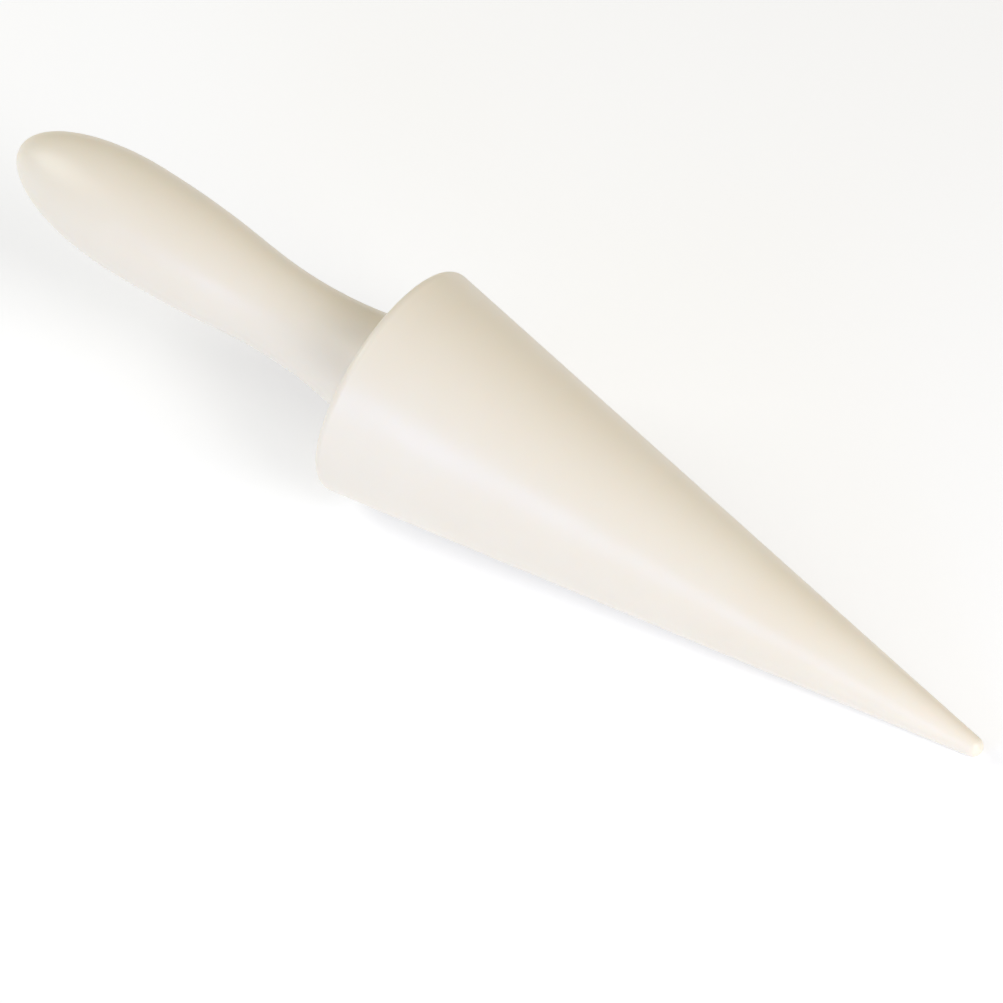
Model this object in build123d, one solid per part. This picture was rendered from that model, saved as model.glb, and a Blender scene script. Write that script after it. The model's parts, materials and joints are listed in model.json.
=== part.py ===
from build123d import *
import math
import os

# A cone roller: the form on which a hot wafer is rolled into a cone, with a turned grip behind it.
# Every piece is modelled about the roller's own axis, which is X: X = 0 is the cone's back face, the
# nose points to +X and the grip to -X. At the end all pieces are laid down together, as the roller
# lies on a table: on the side of its cone, with the grip in the air. All sizes are in millimetres.

# ------------------------------------------------------------------------------ driving sizes
cone_base_diameter = 50.8       # across the sharp edge that the rim's rounding replaces
cone_length = 145.0             # from the back face to the point of the nose
cone_wall = 3.0                 # square to the surface
nose_radius = 2.1
rim_radius = 1.8                # rounding between the back face and the cone's side
cavity_end_radius = 1.5         # rounded end of the hollow, inside the nose

mouth_step = 0.3                # the mouth is this much wider than the hollow, all round
plate_thickness = 4.0
plate_edge_gap = 0.1            # between the plate's edge and the mouth
plate_edge_bevel = 0.4          # on the outside, and it shows as a fine groove

rib_count = 6                   # the ribs' square ends stop the plate
rib_thickness = 1.8
rib_depth = 4.0                 # inwards from the wall, at the plate
rib_length = 60.0               # from the plate to where the rib fades out

handle_length = 91.7            # from the back face to the end of the dome
belly_diameter = 23.2           # the thickest place of the grip
dome_length = 28.5              # from the thickest place to the end
neck_diameter = 18.4
neck_distance = 24.0            # from the back face to the slimmest place
flare_diameter = 24.8           # where the grip meets the plate
flare_edge_radius = 0.6
belly_fullness = 0.56           # how far the belly keeps its width towards the neck
neck_fullness = 0.32            # how far the neck keeps its width towards the belly

peg_wall = 1.0                  # six-sided peg, from its flats in to the insert's flange
peg_length = 10.0
peg_side_gap = 0.1              # on each flat
peg_end_gap = 0.3               # keeps the peg off the socket's floor, so that the shoulder seats

hub_wall = 3.0                  # around the corners of the peg's socket
hub_floor = 4.0                 # between the socket and the washer
gusset_thickness = 1.8
gusset_reach = 5.0              # outwards from the hub, along the plate
gusset_end_gap = 2.0            # from the gusset's tip to the end of the hub

screw_diameter = 6.0
screw_length = 20.0
screw_head_overhang = 2.0       # beyond the shank, all round
screw_head_height = 6.0
screw_head_bevel = 0.5
hex_key_wall = 2.5              # from the flats of the key's hole out to the head's side
hex_key_depth = 3.0
hub_hole_gap = 0.3              # around the screw, in the hub's floor
thread_gap = 0.05               # around the plain screw, in the plain bore of the insert

washer_overhang = 3.0           # beyond the screw's shank, all round
washer_hole_gap = 0.2
washer_thickness = 1.6

insert_wall = 1.3               # from the screw out to the insert's barrel
insert_length = 13.0
insert_flange_overhang = 0.7    # beyond the barrel, all round
insert_flange_thickness = 1.2
insert_groove_depth = 0.6       # the grip's plastic fills the groove and holds the insert
insert_groove_width = 3.0
blind_hole_gap = 0.3            # around the screw's end, in the grip
blind_hole_spare = 3.0          # beyond the screw's end

# ------------------------------------------------------------------------------ sizes that follow
cone_base_radius = cone_base_diameter / 2
nose_centre = cone_length - nose_radius
# The cone's side runs from the sharp base edge and just touches the nose's sphere.
half_angle = (math.acos(nose_radius / math.hypot(cone_base_radius, nose_centre))
              - math.atan2(nose_centre, cone_base_radius))
taper = math.tan(half_angle)


def hollow_radius(x):
    """The inner radius of the cone's plain wall at x."""
    return cone_base_radius - cone_wall / math.cos(half_angle) - x * taper


mouth_radius = hollow_radius(plate_thickness) + mouth_step
plate_radius = mouth_radius - plate_edge_gap

belly_radius = belly_diameter / 2
belly_place = dome_length - handle_length
neck_radius = neck_diameter / 2
neck_place = -neck_distance
flare_radius = flare_diameter / 2

screw_radius = screw_diameter / 2
screw_head_radius = screw_radius + screw_head_overhang
hex_key_across_flats = 2 * (screw_head_radius - hex_key_wall)
insert_radius = screw_radius + insert_wall
insert_flange_radius = insert_radius + insert_flange_overhang
insert_end = peg_length - insert_length

peg_across_flats = 2 * (insert_flange_radius + peg_wall)
socket_across_flats = peg_across_flats + 2 * peg_side_gap
socket_depth = peg_length + peg_end_gap
hub_radius = socket_across_flats / math.sqrt(3) + hub_wall
hub_end = socket_depth + hub_floor

screw_head_place = hub_end + washer_thickness
screw_end = screw_head_place - screw_length


def turned(*edges):
    """A solid turned about X from edges that run, in X and radius, once around its half section."""
    return revolve(make_face(edges), Axis.X)


def rod(start, end, radius):
    """A round bar along X."""
    return turned(Polyline((start, 0), (start, radius), (end, radius), (end, 0), close=True))


def six_sided(start, end, across_flats):
    """A six-sided bar along X."""
    section = Plane.YZ.offset(start) * RegularPolygon(across_flats / 2, 6, major_radius=False)
    return extrude(section, end - start)


def blade(outline, thickness):
    """A thin straight-sided web whose outline lies in X and radius."""
    return extrude(make_face(Polyline(*outline, close=True)), thickness / 2, both=True)


def around_axis(web, count, first_angle=0):
    """Copies of a web, evenly spaced around X."""
    return [Rot(X=first_angle + step * 360 / count) * web for step in range(count)]


def cone_body():
    """The cone's outside as a filled solid, with a round nose and a rounded rim."""
    nose_touch = (nose_centre + nose_radius * math.sin(half_angle), nose_radius * math.cos(half_angle))
    side = Polyline((cone_length, 0), (0, 0), (0, cone_base_radius), nose_touch)
    nose = CenterArc((nose_centre, 0), nose_radius, 0, 90 - math.degrees(half_angle))
    section = make_face([side, nose])
    base_corner = section.vertices().sort_by_distance((0, cone_base_radius))[0]
    return revolve(fillet(base_corner, rim_radius), Axis.X)


def cone_hollow():
    """The space inside the cone: the plate's mouth, then a plain taper with a rounded end."""
    end_centre = (hollow_radius(0) - cavity_end_radius / math.cos(half_angle)) / taper
    end_touch = (end_centre + cavity_end_radius * math.sin(half_angle),
                 cavity_end_radius * math.cos(half_angle))
    side = Polyline((end_centre + cavity_end_radius, 0), (0, 0), (0, mouth_radius),
                    (plate_thickness, mouth_radius),
                    (plate_thickness, hollow_radius(plate_thickness)), end_touch)
    end = CenterArc((end_centre, 0), cavity_end_radius, 0, 90 - math.degrees(half_angle))
    return turned(side, end)


def cone_shell():
    """The hollow moulded cone, with ribs inside that stop the rear plate."""
    root = cone_wall / 2
    fade = plate_thickness + rib_length
    rib = blade([(plate_thickness, hollow_radius(plate_thickness) - rib_depth),
                 (plate_thickness, hollow_radius(plate_thickness) + root),
                 (fade, hollow_radius(fade) + root),
                 (fade, hollow_radius(fade))], rib_thickness)
    return cone_body() - cone_hollow() + around_axis(rib, rib_count)


def rear_plate():
    """The plate in the cone's mouth, with the hub that holds the grip's peg and screw."""
    disc = turned(Polyline((0, 0), (0, plate_radius - plate_edge_bevel),
                           (plate_edge_bevel, plate_radius),
                           (plate_thickness, plate_radius), (plate_thickness, 0), close=True))
    hub = rod(0, hub_end, hub_radius)
    root = hub_wall / 2
    gusset = blade([(plate_thickness / 2, hub_radius - root),
                    (plate_thickness / 2, hub_radius + gusset_reach),
                    (plate_thickness, hub_radius + gusset_reach),
                    (hub_end - gusset_end_gap, hub_radius),
                    (hub_end - gusset_end_gap, hub_radius - root)], gusset_thickness)
    between_ribs = 180 / rib_count
    plate = disc + hub + around_axis(gusset, rib_count, between_ribs)
    socket = six_sided(0, socket_depth, socket_across_flats)
    screw_hole = rod(0, hub_end, screw_radius + hub_hole_gap)
    return plate - socket - screw_hole


def insert_body():
    """The insert's outside: a flange at the peg's end and a groove around the barrel."""
    groove_start = (peg_length + insert_end - insert_groove_width) / 2
    groove_end = groove_start + insert_groove_width
    groove_radius = insert_radius - insert_groove_depth
    flange_start = peg_length - insert_flange_thickness
    return turned(Polyline((insert_end, 0), (insert_end, insert_radius),
                           (groove_start, insert_radius), (groove_start, groove_radius),
                           (groove_end, groove_radius), (groove_end, insert_radius),
                           (flange_start, insert_radius), (flange_start, insert_flange_radius),
                           (peg_length, insert_flange_radius), (peg_length, 0), close=True))


def handle_insert():
    """The threaded brass insert. Its thread is left as a plain bore."""
    return insert_body() - rod(insert_end, peg_length, screw_radius + thread_gap)


def grip_body():
    """The turned grip: a domed end, a full belly, a slim neck and a flare onto the plate."""
    dome = EllipticalCenterArc((belly_place, 0), dome_length, belly_radius,
                               start_angle=90, arc_size=90)
    run = neck_place - belly_place
    waist = Bezier((belly_place, belly_radius),
                   (belly_place + belly_fullness * run, belly_radius),
                   (neck_place - neck_fullness * run, neck_radius),
                   (neck_place, neck_radius))
    flare = TangentArc((neck_place, neck_radius), (0, flare_radius), tangent=(1, 0))
    inside = Polyline((0, flare_radius), (0, 0), (-handle_length, 0))
    section = make_face([dome, waist, flare, inside])
    shoulder_corner = section.vertices().sort_by_distance((0, flare_radius))[0]
    return revolve(fillet(shoulder_corner, flare_edge_radius), Axis.X)


def handle():
    """The grip with its peg, moulded around the insert, and a blind hole for the screw's end."""
    grip = grip_body() + six_sided(0, peg_length, peg_across_flats)
    blind_hole = rod(screw_end - blind_hole_spare, insert_end, screw_radius + blind_hole_gap)
    return grip - insert_body() - blind_hole


def handle_screw():
    """The socket-head screw. Its thread is left as a plain shank."""
    head_end = screw_head_place + screw_head_height
    head = turned(Polyline((screw_head_place, 0), (screw_head_place, screw_head_radius),
                           (head_end - screw_head_bevel, screw_head_radius),
                           (head_end, screw_head_radius - screw_head_bevel),
                           (head_end, 0), close=True))
    shank = rod(screw_end, screw_head_place, screw_radius)
    return head + shank - six_sided(head_end - hex_key_depth, head_end, hex_key_across_flats)


def screw_washer():
    """The flat washer between the hub and the screw's head."""
    return (rod(hub_end, screw_head_place, screw_radius + washer_overhang)
            - rod(hub_end, screw_head_place, screw_radius + washer_hole_gap))


def lying_down():
    """The place of the whole roller as it lies on the side of its cone, centred over the origin."""
    cosine, sine = math.cos(half_angle), math.sin(half_angle)
    front = nose_centre * cosine + nose_radius
    back = belly_place * cosine - math.hypot(dome_length * cosine, belly_radius * sine)
    height = cone_base_radius * cosine
    return Pos(-(front + back) / 2, 0, height) * Rot(Y=math.degrees(half_angle))


pieces = {
    "cone_shell": cone_shell(),
    "rear_plate": rear_plate(),
    "handle": handle(),
    "handle_insert": handle_insert(),
    "handle_screw": handle_screw(),
    "screw_washer": screw_washer(),
}

os.makedirs("parts", exist_ok=True)
for name, piece in pieces.items():
    export_step(lying_down() * piece, f"parts/{name}.step")
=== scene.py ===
# %% [markdown]
# # A cone roller
# A cone roller is a kitchen tool. A hot, soft wafer is wrapped round the cone, sets in a few
# seconds, and slides off over the nose. This one is moulded in ivory plastic: a hollow cone, a
# plate that closes its mouth, and a turned grip that a screw holds to the plate from inside.
#
# The exact design is already fixed in CAD. This script loads it, then makes what the eye sees:
# clean meshes, a real plastic, soft light and a camera. Everything is in metres.

# %% Load the frame
import json
import math
import bmesh
import bpy
from mathutils import Matrix, Vector
from mathutils.bvhtree import BVHTree


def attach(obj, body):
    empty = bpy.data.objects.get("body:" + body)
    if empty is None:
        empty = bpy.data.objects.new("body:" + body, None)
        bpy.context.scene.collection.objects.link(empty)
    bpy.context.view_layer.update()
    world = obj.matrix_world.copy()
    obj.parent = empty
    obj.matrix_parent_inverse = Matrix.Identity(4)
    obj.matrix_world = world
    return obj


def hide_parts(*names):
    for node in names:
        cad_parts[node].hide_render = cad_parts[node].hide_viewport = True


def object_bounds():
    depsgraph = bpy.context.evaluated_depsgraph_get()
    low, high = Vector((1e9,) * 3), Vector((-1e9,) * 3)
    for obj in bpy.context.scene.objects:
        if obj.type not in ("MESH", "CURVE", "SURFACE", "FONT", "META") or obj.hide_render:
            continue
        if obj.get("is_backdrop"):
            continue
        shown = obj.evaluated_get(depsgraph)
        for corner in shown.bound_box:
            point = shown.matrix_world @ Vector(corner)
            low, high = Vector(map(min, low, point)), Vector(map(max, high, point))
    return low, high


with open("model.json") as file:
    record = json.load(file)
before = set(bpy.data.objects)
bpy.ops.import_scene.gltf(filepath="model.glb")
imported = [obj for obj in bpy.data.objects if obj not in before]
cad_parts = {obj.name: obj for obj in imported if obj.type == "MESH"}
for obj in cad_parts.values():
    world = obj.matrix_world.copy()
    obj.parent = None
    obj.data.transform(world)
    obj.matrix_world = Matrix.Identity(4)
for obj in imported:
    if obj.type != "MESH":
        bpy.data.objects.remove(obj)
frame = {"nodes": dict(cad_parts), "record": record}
cad_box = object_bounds()
print("CAD nodes:", sorted(frame["nodes"]))

# %% [markdown]
# ## The roller's own axis
# Every piece is round about one axis, but the roller lies on the side of its cone, so that axis
# slopes. It is easiest to shape each piece upright about its own axis and lay it down at the end.
# The record names two places on the axis and one on the cone's back face, which is all that is
# needed to find the slope.

# %% Find the axis and the back face
places = {mount["name"]: mount for mount in frame["record"]["mounts"]}
to_nose = Vector(places["forming_cone"]["axis"]).normalized()
on_axis = Vector(places["forming_cone"]["pos_m"])
on_back_face = Vector(places["rear_face"]["pos_m"])
back_centre = on_axis + to_nose * (on_back_face - on_axis).dot(to_nose)
sideways = Vector((0, 1, 0))
upwards = to_nose.cross(sideways)
LYING = Matrix((to_nose, sideways, upwards)).transposed().to_4x4()
LYING.translation = back_centre
slope = math.asin(-to_nose.z)
print(f"the axis slopes down {math.degrees(slope):.2f} degrees from the grip to the nose")


def reach(node):
    """Where a CAD node starts and ends along the axis, measured from the back face."""
    upright = LYING.inverted()
    along = [(upright @ vertex.co).x for vertex in frame["nodes"][node].data.vertices]
    return min(along), max(along)


cone_length = reach("cone_shell")[1]
handle_end = reach("handle")[0]
print(f"the cone is {cone_length * 1000:.1f} mm long and the grip {-handle_end * 1000:.1f} mm")


# %% [markdown]
# ## The camera
# A long lens from three metres away keeps the straight sides of the cone straight and hardly
# enlarges the near end, which is how a product is usually shown. The camera looks down over the
# nose from the front right, so the roller runs across the picture from corner to corner.

# %% Set up the camera
AZIMUTH = math.radians(35.64)      # 0 looks along +Y, with +X to the right
ELEVATION = math.radians(42.36)
DISTANCE = 3.0
SENSOR = 36                        # millimetres
LENS = 542.85
AIM_RIGHT = 0.02252                # the picture's middle, from the back face's centre
AIM_DOWN = 0.02457

right = Vector((math.cos(AZIMUTH), math.sin(AZIMUTH), 0))
towards_camera = Vector((math.sin(AZIMUTH) * math.cos(ELEVATION),
                         -math.cos(AZIMUTH) * math.cos(ELEVATION), math.sin(ELEVATION)))
above = towards_camera.cross(right)
lens_data = bpy.data.cameras.new("long_lens")
lens_data.lens = LENS
lens_data.sensor_width = SENSOR
lens_data.clip_end = 10 * DISTANCE
camera = bpy.data.objects.new("camera", lens_data)
camera.matrix_world = Matrix((right, above, towards_camera)).transposed().to_4x4()
camera.location = (back_centre + right * AIM_RIGHT - above * AIM_DOWN
                   + towards_camera * DISTANCE)
bpy.context.scene.collection.objects.link(camera)
bpy.context.scene.camera = camera
bpy.context.scene.view_settings.view_transform = "Standard"
print("camera at", [round(value, 3) for value in camera.location])

# %% [markdown]
# ## The light table
# Pale plastic looks best on a light table: a white sheet that glows a little from below, so the
# floor goes almost white and the underside of the roller is filled with soft light.

# %% Lay the floor
FLOOR_HALF = 6.0
FLOOR_WHITE = 0.80
FLOOR_GLOW = 0.335
GLOW_COLOUR = (0.89, 0.93, 1.0, 1)


def principled(name):
    """A new material with its main shader, ready for more nodes."""
    material = bpy.data.materials.new(name)
    material.use_nodes = True
    return material, material.node_tree.nodes["Principled BSDF"]


floor_mesh = bpy.data.meshes.new("floor")
floor_corners = [(-FLOOR_HALF, -FLOOR_HALF, 0), (FLOOR_HALF, -FLOOR_HALF, 0),
                 (FLOOR_HALF, FLOOR_HALF, 0), (-FLOOR_HALF, FLOOR_HALF, 0)]
floor_mesh.from_pydata(floor_corners, [], [(0, 1, 2, 3)])
floor = bpy.data.objects.new("floor", floor_mesh)
bpy.context.scene.collection.objects.link(floor)
floor_material, floor_shader = principled("light_table")
floor_shader.inputs["Base Color"].default_value = (FLOOR_WHITE, FLOOR_WHITE, FLOOR_WHITE, 1)
floor_shader.inputs["Roughness"].default_value = 0.9
floor_shader.inputs["Emission Color"].default_value = GLOW_COLOUR
floor_shader.inputs["Emission Strength"].default_value = FLOOR_GLOW
floor_mesh.materials.append(floor_material)
floor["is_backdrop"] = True
print("floor:", 2 * FLOOR_HALF, "metres square")

# %% [markdown]
# ## Softboxes
# A small cool window low at the front draws the long highlight down the cone. Two softboxes on the
# right, a large one far off and a small low one, light the cone's side, and one on the left lights
# the grip. A near lamp falls off along the roller and a far one doesn't, so the mix of the two sets
# how much brighter the nose is than the base. A warm, dim sky leaves the far side in a tan shade.
#
# A lamp is easier to plan by how bright its face looks than by its power, so the helper takes that
# brightness and works out the power from the size of the face.

# %% Hang the lights
SKY_COLOUR = (1.0, 0.93, 0.80, 1)
SKY_STRENGTH = 0.45


def softbox(name, direction, distance, width, height, radiance, colour):
    """A rectangular lamp that faces the roller. Radiance is how bright its face looks."""
    lamp = bpy.data.lights.new(name, "AREA")
    lamp.shape = "RECTANGLE"
    lamp.size, lamp.size_y = width, height
    lamp.energy = radiance * math.pi * width * height
    lamp.color = colour
    holder = bpy.data.objects.new(name, lamp)
    holder.location = Vector(direction).normalized() * distance
    holder.rotation_euler = Vector(direction).to_track_quat("Z", "Y").to_euler()
    holder.visible_camera = False
    bpy.context.scene.collection.objects.link(holder)


softbox("front_window", (-0.02, -0.96, 0.27), 0.8, 0.4, 0.35, 3.95, (0.34, 0.51, 1.0))
softbox("right_softbox", (0.77, -0.22, 0.60), 1.4, 0.7, 0.7, 3.65, (1.0, 0.97, 0.93))
softbox("low_softbox", (0.86, -0.24, 0.45), 0.6, 0.3, 0.3, 3.2, (0.85, 0.89, 1.0))
softbox("left_softbox", (-0.76, -0.25, 0.58), 0.7, 0.35, 0.35, 3.15, (0.97, 1.0, 0.94))
world = bpy.data.worlds.new("studio")
world.use_nodes = True
sky = world.node_tree.nodes["Background"]
sky.inputs["Color"].default_value = SKY_COLOUR
sky.inputs["Strength"].default_value = SKY_STRENGTH
bpy.context.scene.world = world

# %% [markdown]
# ## Turning a piece
# A lathe makes a round piece from its outline, and so does this helper. It takes rings: each is a
# place along the axis and a radius. Both may also be rules that depend on the angle round the axis,
# which is how ribs and a six-sided peg are made in the same closed skin of even four-sided faces.
# A ring of radius 0 closes the skin with a fan at its middle.

# %% Write the lathe
SEGMENTS = 192
SHARP_EDGE = math.radians(35)


def value_at(rule, angle):
    """A ring's place or radius at one angle: a plain number, or a rule of the angle."""
    return rule(angle) if callable(rule) else rule


def turn(name, rings):
    """A closed mesh turned about the roller's axis, laid down where the roller lies."""
    work = bmesh.new()
    loops = []
    for x, radius in rings:
        if radius == 0:
            loops.append([work.verts.new((x, 0, 0))])
            continue
        loop = []
        for step in range(SEGMENTS):
            angle = 2 * math.pi * step / SEGMENTS
            out = value_at(radius, angle)
            point = (value_at(x, angle), out * math.cos(angle), out * math.sin(angle))
            loop.append(work.verts.new(point))
        loops.append(loop)
    open_ended = len(loops[0]) > 1
    for first, second in zip(loops, loops[1:] + loops[:1] * open_ended):
        for step in range(SEGMENTS):
            after = (step + 1) % SEGMENTS
            corners = [first[step % len(first)], first[after % len(first)],
                       second[after % len(second)], second[step % len(second)]]
            work.faces.new(list(dict.fromkeys(corners)))
    bmesh.ops.recalc_face_normals(work, faces=work.faces)
    mesh = bpy.data.meshes.new(name)
    work.to_mesh(mesh)
    work.free()
    mesh.transform(LYING)
    mesh.polygons.foreach_set("use_smooth", [True] * len(mesh.polygons))
    mesh.set_sharp_from_angle(angle=SHARP_EDGE)
    piece = bpy.data.objects.new(name, mesh)
    bpy.context.scene.collection.objects.link(piece)
    print(f"{name}: {len(mesh.vertices)} points, {len(mesh.polygons)} faces")
    return piece


print("the lathe turns", SEGMENTS, "columns round the axis")

# %% [markdown]
# ## Drawing an outline
# Almost every outline here is made of straight runs and round corners. One helper puts rings along
# a straight run, the other along an arc. A run leaves out its first point, because that point is
# the last one of the stretch before it.

# %% Write the two outline helpers
def straight(start, end, count):
    """Rings on a straight line between two outline points, without the first."""
    (x0, r0), (x1, r1) = start, end
    steps = [step / count for step in range(1, count + 1)]
    return [(x0 + (x1 - x0) * t, r0 + (r1 - r0) * t) for t in steps]


def rounded(centre, radius, from_angle, to_angle, count):
    """Rings on an arc. 0 degrees points to the nose, and 90 straight out from the axis."""
    rings = []
    for step in range(count + 1):
        angle = math.radians(from_angle + (to_angle - from_angle) * step / count)
        rings.append((centre[0] + radius * math.cos(angle), centre[1] + radius * math.sin(angle)))
    return rings


quarter = rounded((0, 0), 1, 0, 90, 2)
print("a quarter turn in two steps:", [(round(x, 2), round(out, 2)) for x, out in quarter])

# %% [markdown]
# ## Noise for uneven surfaces
# No moulded or turned surface is perfectly even, and an even one looks false. A noise texture gives
# a number that wanders over the surface, and a map range node turns that number into the amount
# that a shader needs. Both helpers are used for the plastic, and the second for the metals too.

# %% Write the noise helpers
NOISE_MIDDLE = (0.3, 0.7)          # most of a noise lies between these


def noise(nodes, links, place, size, detail):
    """A noise whose patches are about the given size across."""
    texture = nodes.new("ShaderNodeTexNoise")
    texture.inputs["Scale"].default_value = 1 / size
    texture.inputs["Detail"].default_value = detail
    links.new(place, texture.inputs["Vector"])
    return texture.outputs["Fac"]


def ramp(nodes, links, value, low, high):
    """Spreads the middle of a noise over a range of plain numbers."""
    spread = nodes.new("ShaderNodeMapRange")
    spread.inputs["From Min"].default_value, spread.inputs["From Max"].default_value = NOISE_MIDDLE
    spread.inputs["To Min"].default_value, spread.inputs["To Max"].default_value = low, high
    links.new(value, spread.inputs["Value"])
    return spread.outputs["Result"]


print("a noise is spread from", NOISE_MIDDLE, "over the range that a shader needs")

# %% [markdown]
# ## Ivory plastic
# The roller is moulded in one warm ivory colour with a satin skin. Real moulded plastic is never
# quite even: its colour drifts a little, its gloss is broken by handling, and the mould leaves a
# very fine grain. Three noises at three sizes give those three things. Light also goes a little way
# into pale plastic before it comes out again, which softens the shading, so the shader has some
# subsurface scattering. The gloss stays above 0.3 in roughness: a shinier skin with the same
# smudges came out of the denoiser in blotches.

# %% Mix the ivory plastic
IVORY = (0.862, 0.805, 0.700, 1)
IVORY_DEEP = (0.842, 0.775, 0.655, 1)
DRIFT_SIZE = 0.045                 # metres across one patch of colour
SMUDGE_SIZE = 0.012
GRAIN_SIZE = 0.0006
GRAIN_DEPTH = 0.00004
SATIN = (0.31, 0.39)               # the glossiest and the dullest places

ivory, shader = principled("ivory_plastic_satin")
nodes, links = ivory.node_tree.nodes, ivory.node_tree.links
place = nodes.new("ShaderNodeTexCoord").outputs["Object"]
tint = nodes.new("ShaderNodeMix")
tint.data_type = "RGBA"
tint.inputs["A"].default_value = IVORY
tint.inputs["B"].default_value = IVORY_DEEP
drift = noise(nodes, links, place, DRIFT_SIZE, 3)
links.new(ramp(nodes, links, drift, 0, 1), tint.inputs["Factor"])
links.new(tint.outputs["Result"], shader.inputs["Base Color"])
smudge = noise(nodes, links, place, SMUDGE_SIZE, 5)
links.new(ramp(nodes, links, smudge, *SATIN), shader.inputs["Roughness"])
grain = nodes.new("ShaderNodeBump")
grain.inputs["Strength"].default_value = 0.12
grain.inputs["Distance"].default_value = GRAIN_DEPTH
links.new(noise(nodes, links, place, GRAIN_SIZE, 2), grain.inputs["Height"])
links.new(grain.outputs["Normal"], shader.inputs["Normal"])
shader.inputs["IOR"].default_value = 1.53
shader.inputs["Subsurface Weight"].default_value = 0.4
shader.inputs["Subsurface Radius"].default_value = (1.0, 0.8, 0.6)
shader.inputs["Subsurface Scale"].default_value = 0.0025
print("ivory plastic:", len(nodes), "nodes")

# %% [markdown]
# ## Metal for the hidden screw
# The screw, its washer and the insert are sealed inside, but they are real pieces, so they get real
# metals too. Both metals share one recipe: a turned surface shows fine rings round its axis, which
# is a wave texture stretched along the roller's axis, and its roughness follows the rings.

# %% Make the brass and the steel
RING_PITCH = 0.0004
RING_DEPTH = 0.00003
WAVE_PITCH = 0.314                 # from band to band of a wave texture of scale 1
RING_GLOSS_SPREAD = 0.15


def turned_metal(name, colour, roughness):
    """A metal with fine lathe rings across the roller's axis."""
    material, metal = principled(name)
    tree = material.node_tree
    spot = tree.nodes.new("ShaderNodeTexCoord").outputs["Object"]
    level = tree.nodes.new("ShaderNodeMapping")
    level.inputs["Rotation"].default_value = (0, -slope, 0)
    rings = tree.nodes.new("ShaderNodeTexWave")
    rings.inputs["Scale"].default_value = WAVE_PITCH / RING_PITCH
    rings.inputs["Distortion"].default_value = 1.5
    tree.links.new(spot, level.inputs["Vector"])
    tree.links.new(level.outputs["Vector"], rings.inputs["Vector"])
    dullest = roughness + RING_GLOSS_SPREAD
    tree.links.new(ramp(tree.nodes, tree.links, rings.outputs["Fac"], roughness, dullest),
                   metal.inputs["Roughness"])
    cut = tree.nodes.new("ShaderNodeBump")
    cut.inputs["Strength"].default_value = 0.2
    cut.inputs["Distance"].default_value = RING_DEPTH
    tree.links.new(rings.outputs["Fac"], cut.inputs["Height"])
    tree.links.new(cut.outputs["Normal"], metal.inputs["Normal"])
    metal.inputs["Base Color"].default_value = colour
    metal.inputs["Metallic"].default_value = 1.0
    return material


brass = turned_metal("turned_brass", (0.80, 0.60, 0.30, 1), 0.25)
steel = turned_metal("turned_steel", (0.58, 0.58, 0.60, 1), 0.28)
print("made", brass.name, "and", steel.name)

# %% [markdown]
# ## Three pieces stay as they are
# The insert, the screw and its washer are simple turned parts, and the CAD skins do for them. Each
# only needs its metal. A material is a slot on the mesh, so the old slots are emptied first.

# %% Coat the hidden metal pieces
def coat(piece, material):
    """Gives a piece one material all over."""
    piece.data.materials.clear()
    piece.data.materials.append(material)


coat(frame["nodes"]["handle_insert"], brass)
coat(frame["nodes"]["handle_screw"], steel)
coat(frame["nodes"]["screw_washer"], steel)
print("metals on the screw, washer and insert")

# %% [markdown]
# ## Standing in for a CAD piece
# The CAD pieces are exact, but their skins are long thin triangles, which catch the light unevenly.
# Each plastic piece is therefore turned again as an even skin that stands for its CAD node: it
# rides the same body, hides the node that it replaces, and fills the slot for ivory plastic. To be
# sure that it is true, every point of the new skin is measured to the CAD skin.

# %% Write the stand-in helpers
def compare(piece, node):
    """Prints how far a new skin is from the CAD piece that it stands for, at its worst."""
    cad = frame["nodes"][node].data
    skin = BVHTree.FromPolygons([v.co for v in cad.vertices], [p.vertices for p in cad.polygons])
    worst = max(skin.find_nearest(vertex.co)[3] for vertex in piece.data.vertices)
    print(f"{piece.name} follows {node} to within {worst * 1000:.2f} mm")


def take_over(piece, node):
    """A new plastic piece stands for a CAD node and rides on the roller's one body."""
    coat(piece, ivory)
    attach(piece, "root")
    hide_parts(node)
    compare(piece, node)


for node in ("cone_shell", "handle", "rear_plate"):
    print(node, "has", len(frame["nodes"][node].data.polygons), "CAD faces")

# %% [markdown]
# ## The cone
# The cone is a hollow moulding. Its outline starts at the tip of the round nose, runs straight back
# to a rounded rim, crosses the narrow back face, and turns in through the mouth. Inside it follows
# the wall forward again. Six ribs stand up from the inner wall: their square ends stop the plate.
# A rule of the angle lifts the skin at each rib, so cone and ribs stay one closed skin, as moulded.

# %% Shape the cone's inner wall
BASE_RADIUS = 0.0254
WALL = 0.003
PLATE_THICKNESS = 0.004
RIB_COUNT = 6
RIB_DEPTH = 0.004
RIB_LENGTH = 0.060
RIB_HALF_COLUMNS = 1               # columns of the lathe on each side of a rib's middle


def hollow_radius(x):
    """The radius of the cone's plain inner wall."""
    return BASE_RADIUS - WALL / math.cos(slope) - x * math.tan(slope)


def near_web(angle, count, first_angle, half_columns):
    """Is this angle on one of the evenly spaced ribs or webs?"""
    spacing = 2 * math.pi / count
    off = (angle - first_angle + spacing / 2) % spacing - spacing / 2
    return abs(off) <= (half_columns + 0.5) * 2 * math.pi / SEGMENTS


def ribbed_wall(x):
    """The inner radius at one place along the cone, as a rule of the angle."""
    share_left = 1 - (x - PLATE_THICKNESS) / RIB_LENGTH
    plain, depth = hollow_radius(x), RIB_DEPTH * share_left
    return lambda angle: plain - depth * near_web(angle, RIB_COUNT, 0, RIB_HALF_COLUMNS)


print(f"the hollow is {2000 * hollow_radius(PLATE_THICKNESS):.1f} mm across at the plate")

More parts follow.
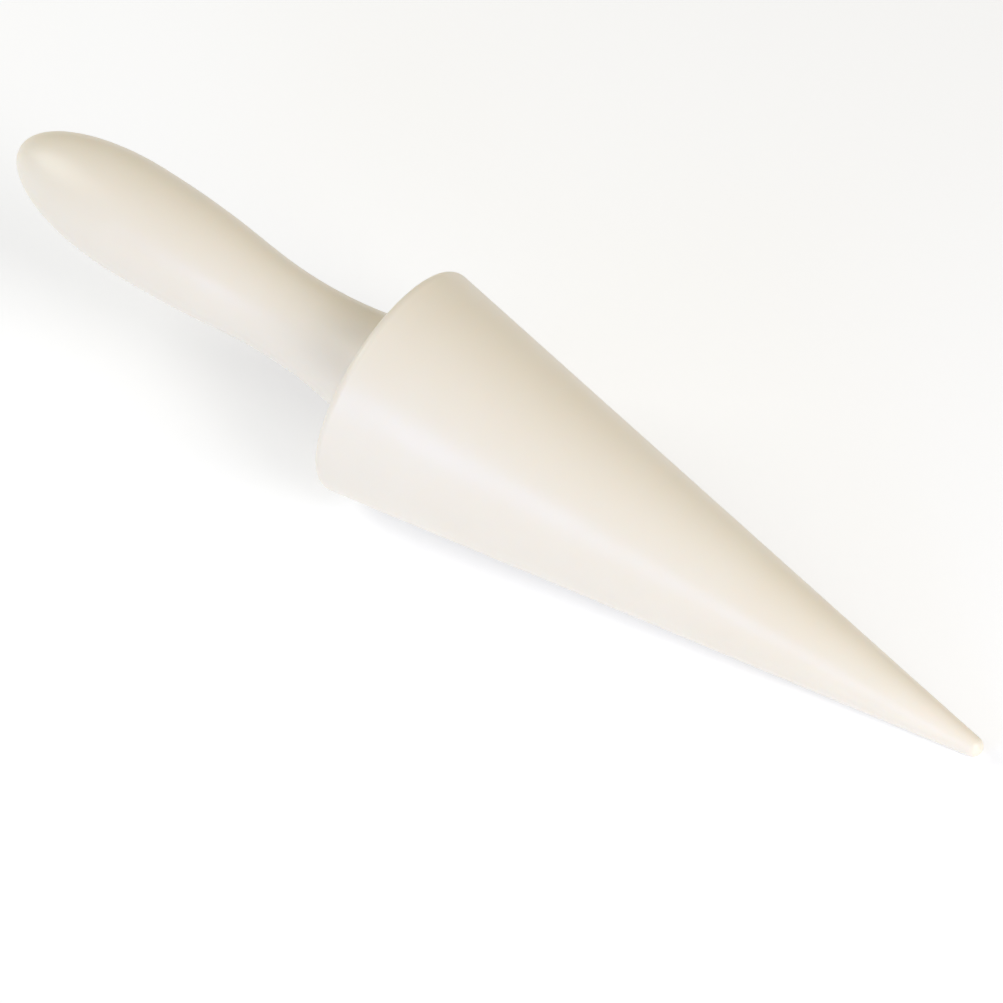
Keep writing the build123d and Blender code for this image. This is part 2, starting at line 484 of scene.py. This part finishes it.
# %% [markdown]
# ### The cone's outline
# Each rounding meets its neighbours without a kink when its arc stops where the straight side
# touches it, and on a cone that is the slope short of a quarter turn. The long straight runs carry
# many rings too, so that the faces stay even and the skin shades smoothly.

# %% Turn the cone
NOSE_RADIUS = 0.0021
RIM_RADIUS = 0.0018
HOLLOW_END_RADIUS = 0.0015
MOUTH_STEP = 0.0003
MOUTH_EDGE = 0.0002
RIB_RINGS = 24

tangent_degrees = 90 - math.degrees(slope)     # where the cone's side leaves a rounding


def cone_rings():
    """The cone's outline, from the tip of the nose round to the end of the hollow."""
    nose = rounded((cone_length - NOSE_RADIUS, 0), NOSE_RADIUS, 0, tangent_degrees, 14)
    nose[0] = (cone_length, 0)
    rim_centre = (RIM_RADIUS, BASE_RADIUS - RIM_RADIUS * (math.tan(slope) + 1 / math.cos(slope)))
    rim = rounded(rim_centre, RIM_RADIUS, tangent_degrees, 180, 14)
    mouth_radius = hollow_radius(PLATE_THICKNESS) + MOUTH_STEP
    mouth_edge = rounded((MOUTH_EDGE, mouth_radius + MOUTH_EDGE), MOUTH_EDGE, 180, 270, 4)
    mouth = straight(mouth_edge[-1], (PLATE_THICKNESS, mouth_radius), 4)
    rib_places = [PLATE_THICKNESS + RIB_LENGTH * step / RIB_RINGS for step in range(RIB_RINGS)]
    ribs = [(x, ribbed_wall(x)) for x in rib_places]
    fade = PLATE_THICKNESS + RIB_LENGTH
    end_centre = (hollow_radius(0) - HOLLOW_END_RADIUS / math.cos(slope)) / math.tan(slope)
    end = rounded((end_centre, 0), HOLLOW_END_RADIUS, tangent_degrees, 0, 6)
    end[-1] = (end_centre + HOLLOW_END_RADIUS, 0)
    inner = [(fade, hollow_radius(fade))] + straight((fade, hollow_radius(fade)), end[0], 24)
    return (nose + straight(nose[-1], rim[0], 64) + rim[1:] + straight(rim[-1], mouth_edge[0], 3)
            + mouth_edge[1:] + mouth + ribs + inner + end[1:])


cone = turn("cone", cone_rings())
take_over(cone, "cone_shell")

# %% [markdown]
# ## The grip
# The grip is turned or moulded solid. Its domed end is half an ellipse, its waist is one smooth
# curve from the full belly to the slim neck, and an arc flares it out onto the plate. The curve has
# four pulls, two at each end, and moving the inner ones makes the belly or the neck fuller.

# %% Shape the dome and the waist
BELLY_RADIUS = 0.0116
DOME_LENGTH = 0.0285
NECK_RADIUS = 0.0092
NECK_DISTANCE = 0.024
BELLY_FULLNESS = 0.56
NECK_FULLNESS = 0.32
DOME_RINGS = 32

belly_place = handle_end + DOME_LENGTH


def dome_rings():
    """Half an ellipse, from the end of the grip to its belly."""
    rings = [(handle_end, 0)]
    for step in range(1, DOME_RINGS + 1):
        turn_in = math.radians(90 * step / DOME_RINGS)
        x = belly_place - DOME_LENGTH * math.cos(turn_in)
        rings.append((x, BELLY_RADIUS * math.sin(turn_in)))
    return rings


def waist_rings(count):
    """The curve from the belly to the neck, level at both ends."""
    run = -NECK_DISTANCE - belly_place
    pulls = [belly_place, belly_place + BELLY_FULLNESS * run,
             -NECK_DISTANCE - NECK_FULLNESS * run, -NECK_DISTANCE]
    rings = []
    for step in range(1, count + 1):
        t = step / count
        weights = [(1 - t) ** 3, 3 * t * (1 - t) ** 2, 3 * t * t * (1 - t), t ** 3]
        x = sum(weight * pull for weight, pull in zip(weights, pulls))
        share = weights[0] + weights[1]
        rings.append((x, NECK_RADIUS + (BELLY_RADIUS - NECK_RADIUS) * share))
    return rings


print(f"the belly is {-belly_place * 1000:.1f} mm behind the cone's back face")

# %% [markdown]
# ### The grip's flare
# The flare is the shoulder that the screw pulls tight against the plate, so it ends flat on the
# plate, with its sharp edge taken off. The arc has to leave the neck level and pass the flare's
# full width at the plate, and those two conditions fix its radius.

# %% Shape the flare
FLARE_RADIUS = 0.0124
FLARE_EDGE = 0.0006


def flare_rings():
    """An arc out from the neck, and a small rounded edge that ends on the plate."""
    rise = FLARE_RADIUS - NECK_RADIUS
    sweep = (NECK_DISTANCE ** 2 + rise ** 2) / (2 * rise)
    edge_turn = math.asin((NECK_DISTANCE - FLARE_EDGE) / (sweep + FLARE_EDGE))
    centre = (-NECK_DISTANCE, NECK_RADIUS + sweep)
    flare = rounded(centre, sweep, 270, 270 + math.degrees(edge_turn), 20)
    edge_centre = (-FLARE_EDGE, centre[1] - (sweep + FLARE_EDGE) * math.cos(edge_turn))
    edge = rounded(edge_centre, FLARE_EDGE, 90 + math.degrees(edge_turn), 0, 8)
    return flare[1:] + edge[1:]


print(f"the flare ends {1000 * flare_rings()[-1][1]:.1f} mm out from the axis")

# %% [markdown]
# ### The grip's peg
# A six-sided peg goes on into the plate's hub, so that the grip can't turn. A threaded brass insert
# is moulded into the peg, because a screw soon strips bare plastic. The insert's flange stops it
# from pulling through, the plastic fills the groove round it, and a blind hole leaves room for the
# end of the screw. A six-sided radius is one more rule of the angle.

# %% Turn the grip
PEG_FLATS = 0.012
PEG_LENGTH = 0.010
PEG_RINGS = 6
INSERT_RADIUS = 0.0043
INSERT_FLANGE_RADIUS = 0.0050
INSERT_FLANGE_THICKNESS = 0.0012
INSERT_LENGTH = 0.013
INSERT_GROOVE_DEPTH = 0.0006
INSERT_GROOVE_WIDTH = 0.003
BLIND_HOLE_RADIUS = 0.0033
BLIND_HOLE_END = -0.0071


def six_sided(across_flats):
    """The radius of a six-sided bar, as a rule of the angle."""
    side = math.pi / 3
    return lambda angle: across_flats / 2 / math.cos(angle % side - side / 2)


def insert_seat_rings():
    """The seat of the insert in the peg, with the ridge that holds it, and the blind hole."""
    end = PEG_LENGTH - INSERT_LENGTH
    middle = PEG_LENGTH - INSERT_LENGTH / 2
    half_groove = INSERT_GROOVE_WIDTH / 2
    neck = INSERT_RADIUS - INSERT_GROOVE_DEPTH
    flange_start = PEG_LENGTH - INSERT_FLANGE_THICKNESS
    return [(PEG_LENGTH, INSERT_FLANGE_RADIUS), (flange_start, INSERT_FLANGE_RADIUS),
            (flange_start, INSERT_RADIUS), (middle + half_groove, INSERT_RADIUS),
            (middle + half_groove, neck), (middle - half_groove, neck),
            (middle - half_groove, INSERT_RADIUS), (end, INSERT_RADIUS),
            (end, BLIND_HOLE_RADIUS), (BLIND_HOLE_END, BLIND_HOLE_RADIUS), (BLIND_HOLE_END, 0)]


peg = [(PEG_LENGTH * step / PEG_RINGS, six_sided(PEG_FLATS)) for step in range(PEG_RINGS + 1)]
grip_rings = dome_rings() + waist_rings(32) + flare_rings() + peg + insert_seat_rings()
grip = turn("grip", grip_rings)
take_over(grip, "handle")

# %% [markdown]
# ## The back plate
# The plate closes the cone's mouth. From outside only a flat ring round the grip shows, with a fine
# groove where its bevelled edge meets the cone. Behind it stand the hub for the peg and six webs
# that brace the hub, between the cone's ribs. The webs are lifted out of the plate by a rule of the
# angle, as the ribs were, but along the axis this time.

# %% Shape the hub and its webs
PEG_SIDE_GAP = 0.0001
SOCKET_DEPTH = 0.0103
HUB_WALL = 0.003
HUB_FLOOR = 0.004
WEB_REACH = 0.005
WEB_END_GAP = 0.002
WEB_HALF_COLUMNS = 2

socket_flats = PEG_FLATS + 2 * PEG_SIDE_GAP
hub_radius = socket_flats / math.sqrt(3) + HUB_WALL
hub_end = SOCKET_DEPTH + HUB_FLOOR


def web_height(radius, share_up):
    """How far the skin stands forward at one radius, as a rule of the angle."""
    web_rise = hub_end - WEB_END_GAP - PLATE_THICKNESS
    share_in = (hub_radius + WEB_REACH - radius) / WEB_REACH

    def rule(angle):
        on_web = near_web(angle, RIB_COUNT, math.pi / RIB_COUNT, WEB_HALF_COLUMNS)
        foot = PLATE_THICKNESS + share_in * web_rise * on_web
        return foot + (hub_end - foot) * share_up
    return rule


print(f"the hub is {2000 * hub_radius:.1f} mm across and {1000 * hub_end:.1f} mm deep")

# %% [markdown]
# ### The plate's outline
# The screw's hole and the peg's socket go right through the plate, so nothing closes the skin on
# the axis. The outline is a closed loop instead: its last ring joins its first.

# %% Turn the plate
PLATE_GAP = 0.0001
PLATE_BEVEL = 0.0004
HUB_HOLE_RADIUS = 0.0033
WEB_RINGS = 8
HUB_RINGS = 6


def plate_rings():
    """The plate's outline: back face, edge, front face with webs, hub, screw hole and socket."""
    edge = hollow_radius(PLATE_THICKNESS) + MOUTH_STEP - PLATE_GAP
    socket = six_sided(socket_flats)
    radii = [hub_radius + WEB_REACH * (1 - step / WEB_RINGS) for step in range(WEB_RINGS + 1)]
    webs = [(web_height(radius, 0), radius) for radius in radii]
    hub = [(web_height(hub_radius, step / HUB_RINGS), hub_radius)
           for step in range(1, HUB_RINGS + 1)]
    back = [(0, socket), (0, hub_radius)] + straight((0, hub_radius), (0, edge - PLATE_BEVEL), 12)
    return (back + [(PLATE_BEVEL, edge), (PLATE_THICKNESS, edge)] + webs + hub
            + [(hub_end, HUB_HOLE_RADIUS), (SOCKET_DEPTH, HUB_HOLE_RADIUS)]
            + [(SOCKET_DEPTH * (1 - step / HUB_RINGS), socket) for step in range(HUB_RINGS)])


plate = turn("back_plate", plate_rings())
take_over(plate, "rear_plate")

# %% [markdown]
# ## Check the whole roller
# The new skins must fill the same box as the CAD pieces. Both boxes are measured, and the last
# line prints how far each corner of the new box lies from the CAD box, in millimetres.

# %% Compare sizes and finish
size = {"cad": [list(corner) for corner in cad_box],
        "visual": [list(corner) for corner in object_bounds()]}
growth = [round(1000 * (b - a), 3) for corner in (0, 1)
          for a, b in zip(size["cad"][corner], size["visual"][corner])]
print("visual box less CAD box, in mm:", growth)
